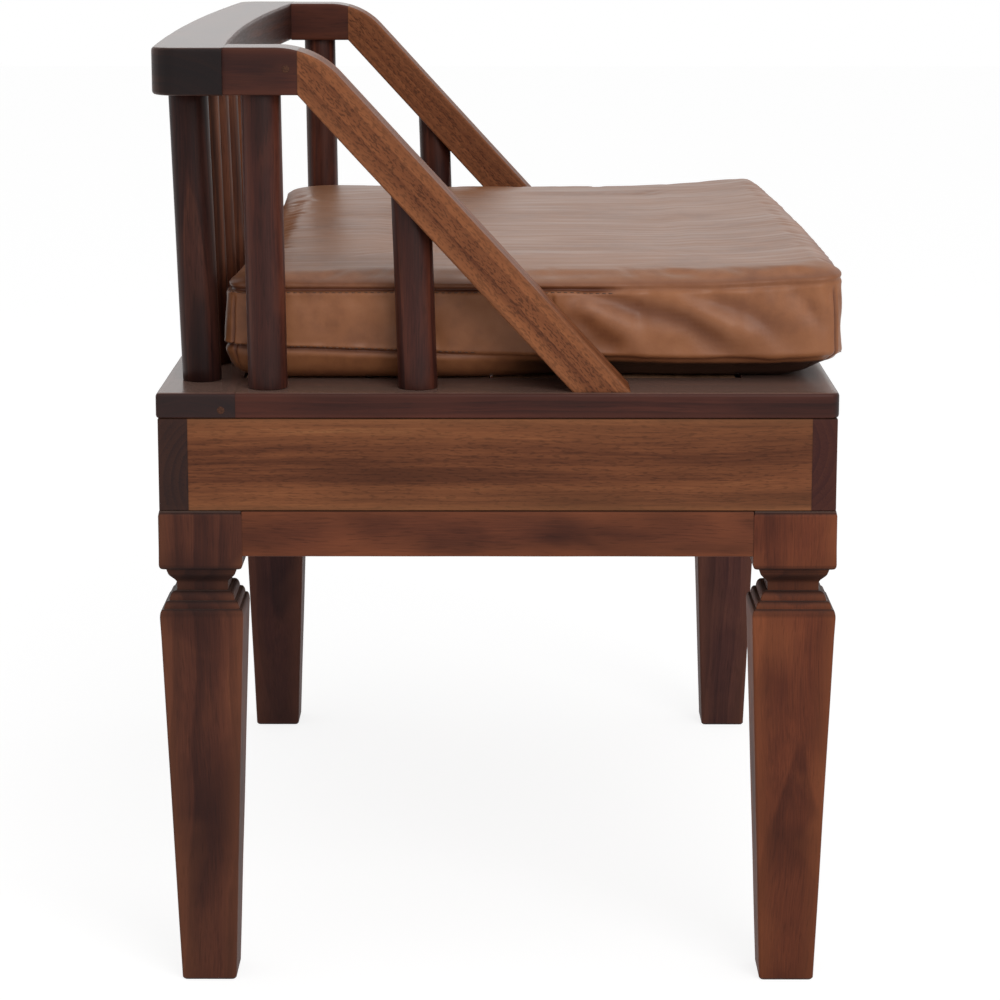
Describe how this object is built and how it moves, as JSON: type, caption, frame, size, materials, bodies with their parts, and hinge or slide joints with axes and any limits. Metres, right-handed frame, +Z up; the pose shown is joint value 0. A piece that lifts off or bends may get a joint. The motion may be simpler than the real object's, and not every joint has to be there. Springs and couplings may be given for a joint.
{
  "type": "upholstered bench",
  "caption": "Low wooden bench with a spindled back, sloping arms, moulded tapered legs and a loose leather box cushion.",
  "frame": {"origin": "on the floor, at the middle of the bench's footprint (the middle of its box, seen from above)", "axes": "+Z up, +Y towards the back, X along the bench's length; left is -X, as seen from in front"},
  "size_m": [0.66, 0.452, 0.6175],
  "materials": {
    "leg_wood": "satin",
    "apron_wood": "satin",
    "case_board_wood": "satin",
    "case_panel_wood": "satin",
    "seat_wood": "satin",
    "inner_wood": "matte",
    "dowel_wood": "matte",
    "spindle_wood": "satin",
    "crest_wood": "satin",
    "arm_wood": "satin",
    "plug_wood": "matte",
    "zinc_steel": "satin",
    "brown_leather": "satin",
    "foam": "matte"
  },
  "bodies": {
    "bench": {"leg_front_left": "leg_wood", "leg_front_right": "leg_wood", "leg_back_left": "leg_wood", "leg_back_right": "leg_wood", "apron_front": "apron_wood", "apron_back": "apron_wood", "apron_left": "apron_wood", "apron_right": "apron_wood", "corner_braces": "inner_wood", "leg_bolts": "zinc_steel", "case_front": "case_board_wood", "case_back": "case_board_wood", "case_left": "case_panel_wood", "case_right": "case_panel_wood", "case_dowels": "dowel_wood", "case_corner_dowels": "dowel_wood", "seat_rail_back": "seat_wood", "seat_rail_front": "seat_wood", "seat_rail_left": "seat_wood", "seat_rail_right": "seat_wood", "seat_frame_dowels": "dowel_wood", "seat_boards": "inner_wood", "seat_bearers": "inner_wood", "seat_board_screws": "zinc_steel", "seat_rail_screws": "zinc_steel", "back_spindle_1": "spindle_wood", "back_spindle_2": "spindle_wood", "back_spindle_3": "spindle_wood", "back_spindle_4": "spindle_wood", "back_spindle_5": "spindle_wood", "back_spindle_6": "spindle_wood", "back_spindle_7": "spindle_wood", "back_spindle_8": "spindle_wood", "back_spindle_9": "spindle_wood", "side_spindle_rear_left": "spindle_wood", "side_spindle_front_left": "spindle_wood", "side_spindle_rear_right": "spindle_wood", "side_spindle_front_right": "spindle_wood", "crest_rail": "crest_wood", "arm_block_left": "crest_wood", "arm_block_right": "crest_wood", "arm_slope_left": "arm_wood", "arm_slope_right": "arm_wood", "crest_dowels": "dowel_wood", "arm_dowels": "dowel_wood", "arm_screws": "zinc_steel", "joint_plugs": "plug_wood"},
    "cushion": {"cushion_cover": "brown_leather", "cushion_foam": "foam"}
  },
  "joints": [
    {"name": "cushion_lift", "type": "slide", "parent": "bench", "child": "cushion", "axis": [0, -0.6, 0.8], "range_m": [0, 0.25]}
  ]
}
